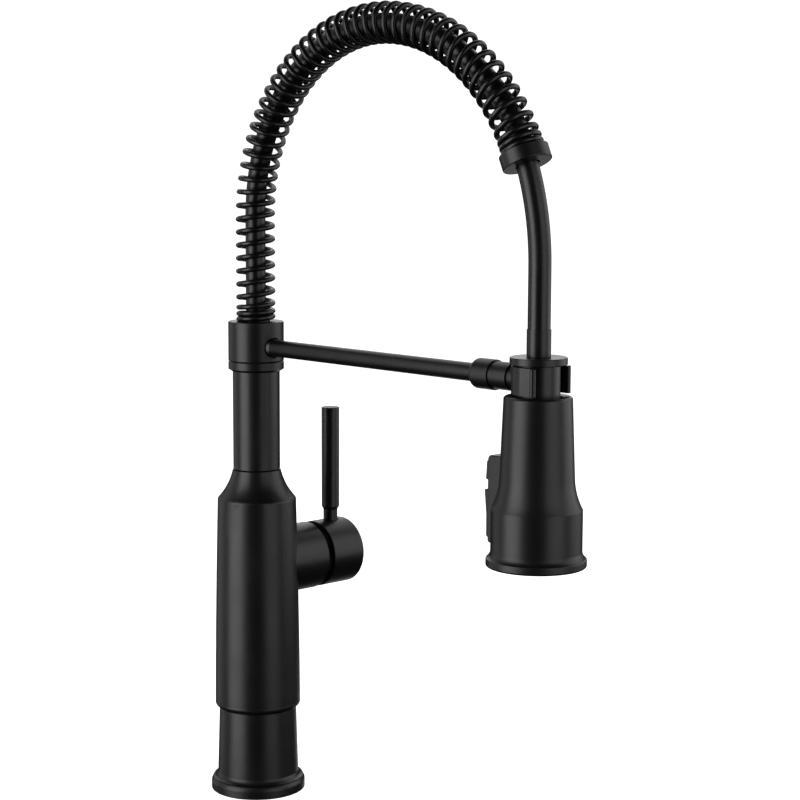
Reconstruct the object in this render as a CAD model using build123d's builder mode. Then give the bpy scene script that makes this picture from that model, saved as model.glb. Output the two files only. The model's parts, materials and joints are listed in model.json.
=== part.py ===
from build123d import *
import os
from math import cos, radians, sin

os.makedirs("parts", exist_ok=True)

# Single-lever faucet with an open spring over its spray hose and a spray wand docked on an arm.
# Origin: centre of the base, on the deck. +Z up, +X along the dock arm, +Y towards the handle.

# ---------------------------------------------------------------- driving dimensions, in mm
reach = 229.6            # post axis to wand axis
fit = 0.05               # radial clearance of a turning or push fit
free = 0.3               # clearance between pieces that pass each other

foot_r = 28.6            # base foot
foot_h = 4.6             # upright wall of the foot
skirt_foot_r = 24.62     # base skirt, just above the cove that runs out to the foot
skirt_foot_z = 10.8
skirt_top_r = 23.4
skirt_top_z = 51.8       # lower edge of the body shell
shank_r = 21.4           # threaded tube inside the skirt
shank_top = 66.0
plate_h = 12.0           # mounting base plate
stud_spacing = 32.0
stud_hole_r = 3.4        # M8, tap drill size
inlet_r = 4.5            # M10 x 1, minor size
inlet_x = 8.5
supply_tube_r = 4.0

shell_r = 25.85          # body shell at its widest
shell_mid_r = 25.1
shell_neck_r = 23.7     # where the shoulder starts
shell_widest_z = 60.0
shell_mid_z = 117.0
shoulder_z = 180.5
riser_r = 14.1
riser_wall = 1.5
shoulder_top_z = 197.9
riser_top_z = 257.8

handle_z = 139.5         # handle axis
boss_r = 20.5
boss_bore_r = 17.2
boss_end = 41.5
pivot_y = 30.0           # point that the handle tilts about
hub_r = 20.3
hub_start = 45.5
hub_end = 70.3
lever_y = 59.4
lever_r = 5.5
lever_top = 230.5

valve_floor = 8.0        # inner end of the cartridge pocket
cartridge_r = 14.0
carrier_r = 12.7
stem_r = 3.0
ball_drop = 8.0          # ball of the stem, behind the pivot
ball_r = 2.3

column_r = 6.0           # water column in the riser
water_r = 4.5            # bore of the water column
ring_top = 263.8         # swivel ring
collar_r = 16.65
collar_bottom = ring_top + 0.45
collar_top = 287.7
spigot_r = 10.0
spigot_top = 280.7

arm_z = 272.6
arm_r = 5.0
arm_start = 12.6
ferrule_start = 185.5
coupler_start = 199.6
coupler_end = 212.3

hose_r = 6.0
hose_bore_r = 4.5
arch_top = 459.4         # top of the hose's centre line
left_r = 110.0           # arch radius on the post's side, then past the top
right_r = 117.5
spring_r = 11.8          # outside of the coil
wire = 3.2
spring_skin = 1.0        # wall that gives the closed tube the coil's own volume
cap_angle = 24.0         # tilt of the spring's end
cap_run = 4.0            # straight run of closed turns into the cap
hose_angle = 22.0        # where the free hose's own bend starts
cap_r = 13.3

disc_r = 15.1            # wand collar
disc_top = 284.6
disc_bottom = 280.7
neck_r = 11.5
wand_top = 264.3
cone_top_r = 18.0
flare_top_r = 19.75
flare_top_z = 221.0
bell_r = 24.15
bell_top = 204.8
bell_bottom = 182.6
rim_r = 26.6
rim_top = 179.2
wand_bottom = 174.5
wand_wall = 1.8

toggle_x = -27.9         # outer face of the toggle housing, from the wand axis
toggle_half = 8.5
toggle_bottom = 184.0
toggle_top = 231.2
toggle_pin_x = -26.5
toggle_pin_z = 214.5
plunger_z = 222.0

clip_bottom = 265.5
clip_top = 279.8
clip_inner_r = neck_r + free
clip_outer_r = 14.2
clip_arm_y = 13.5        # outside of each open arm, next to its bead
bead_x = 8.3             # rounded bead on the end of each arm
bead_y = 13.4
bead_r = 1.6

# ---------------------------------------------------------------- axes and planes
wand_axis = Axis((reach, 0, 0), (0, 0, 1))
handle_axis = Axis((0, 0, handle_z), (0, 1, 0))
arm_axis = Axis((0, 0, arm_z), (1, 0, 0))
lever_axis = Axis((0, lever_y, 0), (0, 0, 1))
wand_section = Plane(origin=(reach, 0, 0), x_dir=(1, 0, 0), z_dir=(0, -1, 0))
handle_section = Plane(origin=(0, 0, handle_z), x_dir=(0, 1, 0), z_dir=(1, 0, 0))
lever_section = Plane(origin=(0, lever_y, 0), x_dir=(0, 1, 0), z_dir=(1, 0, 0))
arm_section = Plane(origin=(0, 0, arm_z), x_dir=(1, 0, 0), z_dir=(0, -1, 0))


def across(y):
    """Plane square to the handle axis at y; its local x is +X."""
    return Plane(origin=(0, y, handle_z), x_dir=(1, 0, 0), z_dir=(0, 1, 0))


def along(x):
    """Plane square to the arm axis at x; its local x is +Y and its local y is +Z."""
    return Plane(origin=(x, 0, arm_z), x_dir=(0, 1, 0), z_dir=(1, 0, 0))


def wand_level(z):
    """Level plane at height z, centred on the wand axis."""
    return Plane(origin=(reach, 0, z))


def corner(sketch, x, y):
    """The sketch's corner nearest to a local point."""
    return sketch.vertices().sort_by_distance(Vector(x, y, 0))[0]


# ---------------------------------------------------------------- base
gasket_h = 1.5
gasket_r = 27.0

with BuildPart() as deck_gasket:
    with BuildSketch(Plane.XY):
        Circle(gasket_r)
        Circle(shank_r + fit, mode=Mode.SUBTRACT)
    extrude(amount=gasket_h)
deck_gasket.part.label = "deck_gasket"
export_step(deck_gasket.part, "parts/deck_gasket.step")

tube_seat = 3.0          # how deep each supply tube sits in its sockets
inlet_depth = 7.0
feed_r = 3.0             # bore of the supply tubes

with BuildPart() as mounting_base:
    with BuildSketch(Plane.XY):
        Circle(shank_r)
    extrude(amount=shank_top)
    with BuildSketch(Plane.XY.offset(plate_h)):
        Circle(shank_r - 2.4)
    extrude(amount=shank_top, mode=Mode.SUBTRACT)
    with BuildSketch(Plane.XY):
        with GridLocations(0, stud_spacing, 1, 2):
            Circle(stud_hole_r)
    extrude(amount=plate_h, mode=Mode.SUBTRACT)
    with BuildSketch(Plane.XY):
        with GridLocations(2 * inlet_x, 0, 2, 1):
            Circle(inlet_r)
    extrude(amount=inlet_depth, mode=Mode.SUBTRACT)
    with BuildSketch(Plane.XY):
        with GridLocations(2 * inlet_x, 0, 2, 1):
            Circle(feed_r)
    extrude(amount=plate_h, mode=Mode.SUBTRACT)
    with BuildSketch(Plane.XY.offset(plate_h - tube_seat)):
        with GridLocations(2 * inlet_x, 0, 2, 1):
            Circle(supply_tube_r + fit)
    extrude(amount=tube_seat, mode=Mode.SUBTRACT)
mounting_base.part.label = "mounting_base"
export_step(mounting_base.part, "parts/mounting_base.step")

spigot_wall_r = 22.4     # skirt spigot that enters the body shell
skirt_gap = 0.6          # open line between the skirt and the body shell
skirt_end = 56.0
cove_mid = (25.6, 9.0)
cove_end = (27.3, 7.9)
seam_floor = (26.9, 7.55)     # fine groove between the cove and the foot
shoulder_start = (27.4, 7.35)
foot_shoulder = (28.25, 6.1)

with BuildPart() as base_skirt:
    with BuildSketch(Plane.XZ) as skirt_outline:
        with BuildLine():
            Polyline(
                (skirt_foot_r, skirt_foot_z),
                (skirt_top_r, skirt_top_z - skirt_gap),
                (spigot_wall_r, skirt_top_z - skirt_gap),
                (spigot_wall_r, skirt_end),
                (shank_r + fit, skirt_end),
                (shank_r + fit, gasket_h),
                (gasket_r + fit, gasket_h),
                (gasket_r + fit, 0),
                (foot_r, 0),
                (foot_r, foot_h),
            )
            ThreePointArc((foot_r, foot_h), foot_shoulder, shoulder_start)
            Polyline(shoulder_start, seam_floor, cove_end)
            ThreePointArc(cove_end, cove_mid, (skirt_foot_r, skirt_foot_z))
        make_face()
        fillet(corner(skirt_outline, foot_r, 0), 0.5)
    revolve(axis=Axis.Z)
base_skirt.part.label = "base_skirt"
export_step(base_skirt.part, "parts/base_skirt.step")

shell_bore_r = 23.7
lock_start = 57.0

with BuildPart() as body_lock_ring:
    with BuildSketch(Plane.XY.offset(lock_start)):
        Circle(shell_bore_r - 0.15)
        Circle(shank_r + fit, mode=Mode.SUBTRACT)
    extrude(amount=shank_top - lock_start)
body_lock_ring.part.label = "body_lock_ring"
export_step(body_lock_ring.part, "parts/body_lock_ring.step")

# ---------------------------------------------------------------- body shell
shell_wall = 2.0
shell_lip_r = 24.1       # lower edge of the shell, where its hem starts
hem_h = 3.3
shell_hem = (25.3, skirt_top_z + 0.9)
shoulder_mid = (17.9, 188.6)
neck_lip_r = riser_r + 0.4

with BuildPart() as body_shell:
    with BuildSketch(Plane.XZ) as shell_outline:
        with BuildLine():
            Line((shell_bore_r, skirt_top_z), (shell_lip_r, skirt_top_z))
            ThreePointArc(
                (shell_lip_r, skirt_top_z), shell_hem, (shell_r, skirt_top_z + hem_h)
            )
            Line((shell_r, skirt_top_z + hem_h), (shell_r, shell_widest_z))
            ThreePointArc(
                (shell_r, shell_widest_z), (shell_mid_r, shell_mid_z), (shell_neck_r, shoulder_z)
            )
            ThreePointArc(
                (shell_neck_r, shoulder_z), shoulder_mid, (neck_lip_r, shoulder_top_z)
            )
            Polyline(
                (neck_lip_r, shoulder_top_z),
                (riser_r + fit, shoulder_top_z),
                (riser_r + fit, shoulder_top_z - 7),
                (shell_neck_r - shell_wall, shoulder_z),
            )
            ThreePointArc(
                (shell_neck_r - shell_wall, shoulder_z),
                (shell_mid_r - shell_wall, shell_mid_z),
                (shell_bore_r, shell_widest_z),
            )
            Line((shell_bore_r, shell_widest_z), (shell_bore_r, skirt_top_z))
        make_face()
        fillet(corner(shell_outline, shell_neck_r, shoulder_z), 2.0)
    revolve(axis=Axis.Z)
    with BuildSketch(across(0)):
        Circle(boss_r + fit)
    extrude(amount=boss_end, mode=Mode.SUBTRACT)
body_shell.part.label = "body_shell"
export_step(body_shell.part, "parts/body_shell.step")

boss_start = 10.0

with BuildPart() as handle_boss:
    with BuildSketch(across(boss_start)):
        Circle(boss_r)
        Circle(boss_bore_r, mode=Mode.SUBTRACT)
    extrude(amount=boss_end - boss_start)
    chamfer(handle_boss.edges().group_by(Axis.Y)[-1].sort_by(SortBy.RADIUS)[-1], 1.0)
handle_boss.part.label = "handle_boss"
export_step(handle_boss.part, "parts/handle_boss.step")

# ---------------------------------------------------------------- water way inside the body
body_bottom = 112.0
body_top = 165.0
body_half_x = 12.9
body_half_y = 9.5
valve_r = boss_bore_r - 0.1
valve_end = 33.0
outlet_rise = 7.0        # outlet port above the valve axis
flange_top = 168.0
plug_r = riser_r - riser_wall - 0.1
plug_top = 176.0
column_start = 160.0

with BuildPart() as valve_body:
    with BuildSketch(Plane.XY.offset(body_bottom)):
        RectangleRounded(2 * body_half_x, 2 * body_half_y, 3)
    extrude(amount=body_top - body_bottom)
    with BuildSketch(across(-body_half_y)):
        Circle(valve_r)
    extrude(amount=body_half_y + valve_end)
    with BuildSketch(Plane.XY.offset(body_top)):
        Circle(riser_r)
    extrude(amount=flange_top - body_top)
    with BuildSketch(Plane.XY.offset(flange_top)):
        Circle(plug_r)
    extrude(amount=plug_top - flange_top)
    with BuildSketch(across(valve_floor)):
        Circle(cartridge_r + fit)
    extrude(amount=valve_end, mode=Mode.SUBTRACT)
    with BuildSketch(Plane.XY.offset(body_bottom)):
        with GridLocations(2 * inlet_x, 0, 2, 1):
            Circle(feed_r)
    extrude(amount=handle_z - body_bottom, mode=Mode.SUBTRACT)
    with BuildSketch(Plane.XY.offset(body_bottom)):
        with GridLocations(2 * inlet_x, 0, 2, 1):
            Circle(supply_tube_r + fit)
    extrude(amount=tube_seat, mode=Mode.SUBTRACT)
    with BuildSketch(across(0)):
        with GridLocations(2 * inlet_x, 0, 2, 1):
            Circle(feed_r - 0.5)
        with Locations((0, -outlet_rise)):
            Circle(feed_r)
    extrude(amount=valve_floor, mode=Mode.SUBTRACT)
    with BuildSketch(Plane.XY.offset(handle_z + outlet_rise)):
        Circle(water_r)
    extrude(amount=plug_top - handle_z, mode=Mode.SUBTRACT)
    with BuildSketch(Plane.XY.offset(column_start)):
        Circle(column_r + fit)
    extrude(amount=plug_top - column_start, mode=Mode.SUBTRACT)
valve_body.part.label = "valve_body"
export_step(valve_body.part, "parts/valve_body.step")

for side, tube_label in ((-1, "hot_tube"), (1, "cold_tube")):
    with BuildPart() as supply_tube:
        with BuildSketch(Plane.XY.offset(plate_h - tube_seat)):
            with Locations((side * inlet_x, 0)):
                Circle(supply_tube_r)
                Circle(feed_r, mode=Mode.SUBTRACT)
        extrude(amount=body_bottom - plate_h + 2 * tube_seat)
    supply_tube.part.label = tube_label
    export_step(supply_tube.part, f"parts/{tube_label}.step")

column_top = 246.0

with BuildPart() as water_column:
    with BuildSketch(Plane.XY.offset(column_start)):
        Circle(column_r)
        Circle(water_r, mode=Mode.SUBTRACT)
    extrude(amount=column_top - column_start)
water_column.part.label = "water_column"
export_step(water_column.part, "parts/water_column.step")

seam_h = 0.9             # undercut that leaves a shadow line above the shoulder
seam_depth = 0.6

with BuildPart() as riser_tube:
    with BuildSketch(Plane.XY.offset(flange_top)):
        Circle(riser_r)
        Circle(riser_r - riser_wall, mode=Mode.SUBTRACT)
    extrude(amount=riser_top_z - flange_top)
    with BuildSketch(Plane.XZ):
        with BuildLine():
            Polyline(
                (neck_lip_r, shoulder_top_z),
                (riser_r - seam_depth, shoulder_top_z),
                (riser_r, shoulder_top_z + seam_h),
                (neck_lip_r, shoulder_top_z + seam_h),
                close=True,
            )
        make_face()
    revolve(axis=Axis.Z, mode=Mode.SUBTRACT)
riser_tube.part.label = "riser_tube"
export_step(riser_tube.part, "parts/riser_tube.step")

# ---------------------------------------------------------------- swivel on top of the riser
plug_bottom = 240.0
groove_r = 8.6
seal_h = 1.7
seal_levels = (274.6, 277.6)

with BuildPart() as swivel_spigot:
    with BuildSketch(Plane.XY.offset(plug_bottom)):
        Circle(plug_r)
    extrude(amount=riser_top_z - plug_bottom)
    with BuildSketch(Plane.XY.offset(riser_top_z)):
        Circle(spigot_r)
    extrude(amount=spigot_top - riser_top_z)
    for level in seal_levels:
        with BuildSketch(Plane.XY.offset(level)):
            Circle(spigot_r)
            Circle(groove_r, mode=Mode.SUBTRACT)
        extrude(amount=seal_h + 0.1, mode=Mode.SUBTRACT)
    with BuildSketch(Plane.XY.offset(plug_bottom)):
        Circle(water_r)
    extrude(amount=spigot_top - plug_bottom, mode=Mode.SUBTRACT)
    with BuildSketch(Plane.XY.offset(plug_bottom)):
        Circle(column_r + fit)
    extrude(amount=column_top - plug_bottom, mode=Mode.SUBTRACT)
swivel_spigot.part.label = "swivel_spigot"
export_step(swivel_spigot.part, "parts/swivel_spigot.step")

ring_chamfer = (2.2, 1.4)     # width and height

with BuildPart() as swivel_ring:
    with BuildSketch(Plane.XZ):
        with BuildLine():
            Polyline(
                (spigot_r + fit, riser_top_z),
                (collar_r - ring_chamfer[0], riser_top_z),
                (collar_r, riser_top_z + ring_chamfer[1]),
                (collar_r, ring_top - 0.3),
                (collar_r - 0.3, ring_top),
                (spigot_r + fit, ring_top),
                close=True,
            )
        make_face()
    revolve(axis=Axis.Z)
swivel_ring.part.label = "swivel_ring"
export_step(swivel_ring.part, "parts/swivel_ring.step")

bush_r = 11.5
bush_top = 272.0

with BuildPart() as swivel_bush:
    with BuildSketch(Plane.XY.offset(ring_top)):
        Circle(bush_r)
        Circle(spigot_r + fit, mode=Mode.SUBTRACT)
    extrude(amount=bush_top - ring_top)
swivel_bush.part.label = "swivel_bush"
export_step(swivel_bush.part, "parts/swivel_bush.step")

with BuildPart() as swivel_seals:
    for level in seal_levels:
        with BuildSketch(Plane.XY.offset(level + 0.05)):
            Circle(spigot_r + fit)
            Circle(groove_r, mode=Mode.SUBTRACT)
        extrude(amount=seal_h)
swivel_seals.part.label = "swivel_seals"
export_step(swivel_seals.part, "parts/swivel_seals.step")

# ---------------------------------------------------------------- spout: collar, arm, dock
bush_zone_top = 272.6
seal_zone_top = 281.2
nipple_r = 5.0
recess_floor = 14.8      # flat recess round the arm's root
recess_r = 6.3

with BuildPart() as arm_collar:
    with BuildSketch(Plane.XZ) as collar_outline:
        with BuildLine():
            Polyline(
                (bush_r + fit, collar_bottom),
                (collar_r, collar_bottom),
                (collar_r, collar_top),
                (nipple_r + fit, collar_top),
                (nipple_r + fit, seal_zone_top),
                (spigot_r + 2 * fit, seal_zone_top),
                (spigot_r + 2 * fit, bush_zone_top),
                (bush_r + fit, bush_zone_top),
                close=True,
            )
        make_face()
        fillet(corner(collar_outline, collar_r, collar_top), 0.6)
        fillet(corner(collar_outline, collar_r, collar_bottom), 0.3)
    revolve(axis=Axis.Z)
    with BuildSketch(along(arm_start)):
        Circle(arm_r + fit)
    extrude(amount=collar_r, mode=Mode.SUBTRACT)
    with BuildSketch(along(recess_floor)):
        Circle(recess_r)
    extrude(amount=collar_r, mode=Mode.SUBTRACT)
arm_collar.part.label = "arm_collar"
export_step(arm_collar.part, "parts/arm_collar.step")

arm_end = 194.0
arm_wall = 1.5
root_start = 16.1        # tapered ring at the mouth of the recess
root_end = 18.3
root_r = 5.75
root_tip_r = 5.2

with BuildPart() as dock_arm:
    with BuildSketch(along(arm_start)):
        Circle(arm_r)
    extrude(amount=arm_end - arm_start)
    with BuildSketch(arm_section):
        with BuildLine():
            Polyline(
                (root_start, 0),
                (root_start, root_r),
                (root_end, root_tip_r),
                (root_end, 0),
                close=True,
            )
        make_face()
    revolve(axis=arm_axis)
    with BuildSketch(along(arm_start)):
        Circle(arm_r - arm_wall)
    extrude(amount=arm_end - arm_start, mode=Mode.SUBTRACT)
dock_arm.part.label = "dock_arm"
export_step(dock_arm.part, "parts/dock_arm.step")

ferrule_r = 8.2
arm_screw_x = 192.0
arm_screw_r = 2.0

with BuildPart() as arm_ferrule:
    with BuildSketch(arm_section) as ferrule_outline:
        with BuildLine():
            Polyline(
                (ferrule_start, arm_r + fit),
                (ferrule_start, ferrule_r),
                (coupler_start, ferrule_r),
                (coupler_start, arm_r + fit),
                close=True,
            )
        make_face()
        fillet(corner(ferrule_outline, ferrule_start, ferrule_r), 2.4)
        fillet(corner(ferrule_outline, coupler_start, ferrule_r), 0.4)
    revolve(axis=arm_axis)
    with BuildSketch(Plane.XY.offset(arm_z)):
        with Locations((arm_screw_x, 0)):
            Circle(arm_screw_r + fit)
    extrude(amount=-ferrule_r, mode=Mode.SUBTRACT)
arm_ferrule.part.label = "arm_ferrule"
export_step(arm_ferrule.part, "parts/arm_ferrule.step")

arm_screw_h = 2.5
arm_screw_socket = 1.15

with BuildPart() as arm_set_screw:
    with BuildSketch(Plane.XY.offset(arm_z - arm_r - fit)):
        with Locations((arm_screw_x, 0)):
            Circle(arm_screw_r)
    extrude(amount=-arm_screw_h)
    with BuildSketch(Plane.XY.offset(arm_z - arm_r - fit - arm_screw_h)):
        with Locations((arm_screw_x, 0)):
            RegularPolygon(arm_screw_socket, 6)
    extrude(amount=arm_screw_h - 1, mode=Mode.SUBTRACT)
arm_set_screw.part.label = "arm_set_screw"
export_step(arm_set_screw.part, "parts/arm_set_screw.step")

coupler_r = 7.4

with BuildPart() as dock_coupler:
    with BuildSketch(arm_section) as coupler_outline:
        with BuildLine():
            Polyline(
                (arm_end + fit, 0),
                (arm_end + fit, arm_r),
                (coupler_start, arm_r),
                (coupler_start, coupler_r),
                (coupler_end, coupler_r),
                (coupler_end, 0),
                close=True,
            )
        make_face()
        fillet(corner(coupler_outline, coupler_start, coupler_r), 0.3)
        fillet(corner(coupler_outline, coupler_end, coupler_r), 0.5)
    revolve(axis=arm_axis)
dock_coupler.part.label = "dock_coupler"
export_step(dock_coupler.part, "parts/dock_coupler.step")

magnet_r = 4.6
magnet_start = 213.2
magnet_end = 216.0
clip_boss_r = 6.4
groove_places = (2.6, 4.8, 7.0)
clip_groove_r = 0.45

with BuildPart() as dock_clip:
    with BuildSketch(wand_level(clip_bottom)):
        Circle(clip_outer_r)
        with Locations((clip_outer_r / 2, 0)):
            Rectangle(clip_outer_r, 2 * clip_outer_r, mode=Mode.SUBTRACT)
        with BuildLine():
            Polyline(
                (0, clip_outer_r),
                (bead_x, clip_arm_y),
                (bead_x, -clip_arm_y),
                (0, -clip_outer_r),
                close=True,
            )
        make_face()
        with Locations((bead_x, bead_y), (bead_x, -bead_y)):
            Circle(bead_r)
        Circle(clip_inner_r, mode=Mode.SUBTRACT)
        with Locations((clip_outer_r, 0)):
            Rectangle(2 * clip_outer_r, 2 * clip_inner_r, mode=Mode.SUBTRACT)
        for place in groove_places:
            with Locations((place, clip_inner_r), (place, -clip_inner_r)):
                Circle(clip_groove_r, mode=Mode.SUBTRACT)
    extrude(amount=clip_top - clip_bottom)
    with BuildSketch(along(coupler_end)):
        Circle(clip_boss_r)
    extrude(amount=reach - clip_outer_r - coupler_end + 1.4)
    with BuildSketch(along(coupler_end)):
        Circle(magnet_r + fit)
    extrude(amount=magnet_end - coupler_end, mode=Mode.SUBTRACT)
    with BuildSketch(wand_level(clip_bottom)):
        Circle(clip_inner_r)
    extrude(amount=clip_top - clip_bottom, mode=Mode.SUBTRACT)
dock_clip.part.label = "dock_clip"
export_step(dock_clip.part, "parts/dock_clip.step")

with BuildPart() as dock_magnet:
    with BuildSketch(along(magnet_start)):
        Circle(magnet_r)
    extrude(amount=magnet_end - magnet_start)
dock_magnet.part.label = "dock_magnet"
export_step(dock_magnet.part, "parts/dock_magnet.step")

# ---------------------------------------------------------------- hose, spring and their ends
barb_r = hose_bore_r - 0.1
hose_start = 290.3

with BuildPart() as hose_nipple:
    with BuildSketch(Plane.XZ):
        with BuildLine():
            Polyline(
                (feed_r, seal_zone_top + 0.3),
                (nipple_r, seal_zone_top + 0.3),
                (nipple_r, collar_top),
                (nipple_r + 2, collar_top),
                (nipple_r + 2, hose_start - 0.3),
                (barb_r, hose_start - 0.3),
                (barb_r, hose_start + 12.7),
                (barb_r - 0.8, hose_start + 13.7),
                (feed_r, hose_start + 13.7),
                close=True,
            )
        make_face()
    revolve(axis=Axis.Z)
hose_nipple.part.label = "hose_nipple"
export_step(hose_nipple.part, "parts/hose_nipple.step")

seat_r = spring_r - wire - 0.1
seat_h = 4.5

with BuildPart() as spring_seat:
    with BuildSketch(Plane.XY.offset(collar_top)):
        Circle(seat_r)
        Circle(nipple_r + 2 + fit, mode=Mode.SUBTRACT)
    extrude(amount=seat_h)
spring_seat.part.label = "spring_seat"
export_step(spring_seat.part, "parts/spring_seat.step")

left_centre = (left_r, arch_top - left_r)
right_centre = (left_r, arch_top - right_r)
cap_heading = (sin(radians(cap_angle)), -cos(radians(cap_angle)))
cap_x = right_centre[0] + right_r * cos(radians(cap_angle)) + cap_run * cap_heading[0]
cap_z = right_centre[1] + right_r * sin(radians(cap_angle)) + cap_run * cap_heading[1]

# The spring as a closed tube: up from the collar, then round the arch to the end cap.
with BuildPart() as hose_spring:
    with BuildLine(Plane.XZ):
        Line((0, collar_top), (0, left_centre[1]))
        CenterArc(left_centre, left_r, 180, -90)
        right_part = CenterArc(right_centre, right_r, 90, cap_angle - 90)
        Line(right_part @ 1, (cap_x, cap_z))
    with BuildSketch(Plane.XY.offset(collar_top)):
        Circle(spring_r)
        Circle(spring_r - spring_skin, mode=Mode.SUBTRACT)
    sweep()
hose_spring.part.label = "hose_spring"
export_step(hose_spring.part, "parts/hose_spring.step")

hose_end = 285.5
drop_cos = cos(radians(hose_angle))
drop_sin = sin(radians(hose_angle))
drop_r = (reach - left_r - right_r * drop_cos) / (1 - drop_cos)
drop_centre = (reach - drop_r, right_centre[1] + (right_r - drop_r) * drop_sin)

with BuildPart() as spray_hose:
    with BuildLine(Plane.XZ):
        Line((0, hose_start), (0, left_centre[1]))
        CenterArc(left_centre, left_r, 180, -90)
        CenterArc(right_centre, right_r, 90, hose_angle - 90)
        CenterArc(drop_centre, drop_r, hose_angle, -hose_angle)
        Line((reach, drop_centre[1]), (reach, hose_end))
    with BuildSketch(Plane.XY.offset(hose_start)):
        Circle(hose_r)
        Circle(hose_bore_r, mode=Mode.SUBTRACT)
    sweep()
spray_hose.part.label = "spray_hose"
export_step(spray_hose.part, "parts/spray_hose.step")

cap_floor = 3.2          # solid end of the cap, below the spring
cap_depth = 4.8          # socket round the spring's last turns
cap_plane = Plane(
    origin=(cap_x, 0, cap_z),
    x_dir=(0, 1, 0),
    z_dir=(-sin(radians(cap_angle)), 0, cos(radians(cap_angle))),
)

with BuildPart() as spring_end_cap:
    with BuildSketch(cap_plane.offset(-cap_floor)):
        Circle(cap_r)
    extrude(amount=cap_floor + cap_depth)
    fillet(spring_end_cap.edges().filter_by(GeomType.CIRCLE), 0.6)
    with BuildSketch(cap_plane.offset(-cap_floor)):
        Circle(hose_r + 0.65)
    extrude(amount=cap_floor + cap_depth, mode=Mode.SUBTRACT)
    with BuildSketch(cap_plane):
        Circle(spring_r + 2 * fit)
    extrude(amount=cap_depth, mode=Mode.SUBTRACT)
spring_end_cap.part.label = "spring_end_cap"
export_step(spring_end_cap.part, "parts/spring_end_cap.step")

# ---------------------------------------------------------------- hose end
crimp_top = 299.0
crimp_r = 6.4
tail_r = 5.5
tail_flange_r = 8.0
tail_bottom = 268.0

with BuildPart() as hose_ferrule:
    with BuildSketch(wand_level(hose_end)):
        Circle(crimp_r)
        Circle(hose_r + fit, mode=Mode.SUBTRACT)
    extrude(amount=crimp_top - hose_end)
hose_ferrule.part.label = "hose_ferrule"
export_step(hose_ferrule.part, "parts/hose_ferrule.step")

with BuildPart() as hose_tail:
    with BuildSketch(wand_section):
        with BuildLine():
            Polyline(
                (feed_r, tail_bottom),
                (tail_flange_r, tail_bottom),
                (tail_flange_r, disc_bottom - free),
                (tail_r, disc_bottom - free),
                (tail_r, disc_top + free),
                (crimp_r, disc_top + free),
                (crimp_r, hose_end),
                (barb_r, hose_end),
                (barb_r, crimp_top - 1),
                (feed_r, crimp_top - 1),
                close=True,
            )
        make_face()
    revolve(axis=wand_axis)
hose_tail.part.label = "hose_tail"
export_step(hose_tail.part, "parts/hose_tail.step")

# ---------------------------------------------------------------- wand
collar_flange_r = 14.0
collar_foot = 254.0
plate_bottom = 259.0
collar_bore_r = 8.3

with BuildPart() as wand_collar:
    with BuildSketch(wand_section) as wand_collar_outline:
        with BuildLine():
            Polyline(
                (tail_r + 2 * fit, disc_bottom),
                (tail_r + 2 * fit, disc_top),
                (disc_r, disc_top),
                (disc_r, disc_bottom),
                (neck_r, disc_bottom),
                (neck_r, plate_bottom),
                (collar_flange_r, plate_bottom),
                (collar_flange_r, collar_foot),
                (collar_bore_r, collar_foot),
                (collar_bore_r, disc_bottom),
                close=True,
            )
        make_face()
        fillet(corner(wand_collar_outline, disc_r, disc_top), 0.5)
        fillet(corner(wand_collar_outline, disc_r, disc_bottom), 0.5)
    revolve(axis=wand_axis)
wand_collar.part.label = "wand_collar"
export_step(wand_collar.part, "parts/wand_collar.step")

flare_mid = (21.25, 211.9)
plunger_hole_r = 2.8
cone_bore_r = 16.2
flare_bore_r = flare_top_r - wand_wall
bell_bore_r = bell_r - wand_wall

with BuildPart() as wand_shell:
    with BuildSketch(wand_section) as wand_shell_outline:
        with BuildLine():
            Polyline(
                (flare_top_r, flare_top_z),
                (cone_top_r, wand_top),
                (neck_r + fit, wand_top),
                (neck_r + fit, plate_bottom),
                (cone_bore_r, plate_bottom),
                (flare_bore_r, flare_top_z),
            )
            Line((flare_bore_r, flare_top_z), (bell_bore_r, bell_top))
            Line((bell_bore_r, bell_top), (bell_r, bell_top))
            ThreePointArc((bell_r, bell_top), flare_mid, (flare_top_r, flare_top_z))
        make_face()
        fillet(corner(wand_shell_outline, cone_top_r, wand_top), 1.6)
    revolve(axis=wand_axis)
    with BuildSketch(Plane(origin=(reach, 0, plunger_z), x_dir=(0, 1, 0), z_dir=(-1, 0, 0))):
        Circle(plunger_hole_r)
    extrude(amount=bell_r, mode=Mode.SUBTRACT)
wand_shell.part.label = "wand_shell"
export_step(wand_shell.part, "parts/wand_shell.step")

rim_mid = (24.85, 180.6)

with BuildPart() as spray_shell:
    with BuildSketch(wand_section):
        with BuildLine():
            Polyline(
                (bell_r, bell_bottom),
                (bell_r, bell_top),
                (bell_bore_r, bell_top),
                (bell_bore_r, rim_top),
                (rim_r - 0.6, rim_top),
            )
            ThreePointArc((rim_r - 0.6, rim_top), rim_mid, (bell_r, bell_bottom))
        make_face()
    revolve(axis=wand_axis)
spray_shell.part.label = "spray_shell"
export_step(spray_shell.part, "parts/spray_shell.step")

plate_r = 22.0

with BuildPart() as face_ring:
    with BuildSketch(wand_section) as ring_outline:
        with BuildLine():
            Polyline(
                (plate_r + fit, wand_bottom),
                (rim_r, wand_bottom),
                (rim_r, rim_top),
                (plate_r + fit, rim_top),
                close=True,
            )
        make_face()
        fillet(corner(ring_outline, rim_r, wand_bottom), 1.2)
        fillet(corner(ring_outline, rim_r, rim_top), 0.8)
        chamfer(corner(ring_outline, plate_r + fit, wand_bottom), 0.6)
    revolve(axis=wand_axis)
face_ring.part.label = "face_ring"
export_step(face_ring.part, "parts/face_ring.step")

# ---------------------------------------------------------------- spray face
face_bottom = 175.6
face_top = 178.0
aerator_r = 8.5
nozzle_rings = ((12.5, 12), (17.5, 18))
nozzle_r = 0.9
jet_r = 0.4

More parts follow.
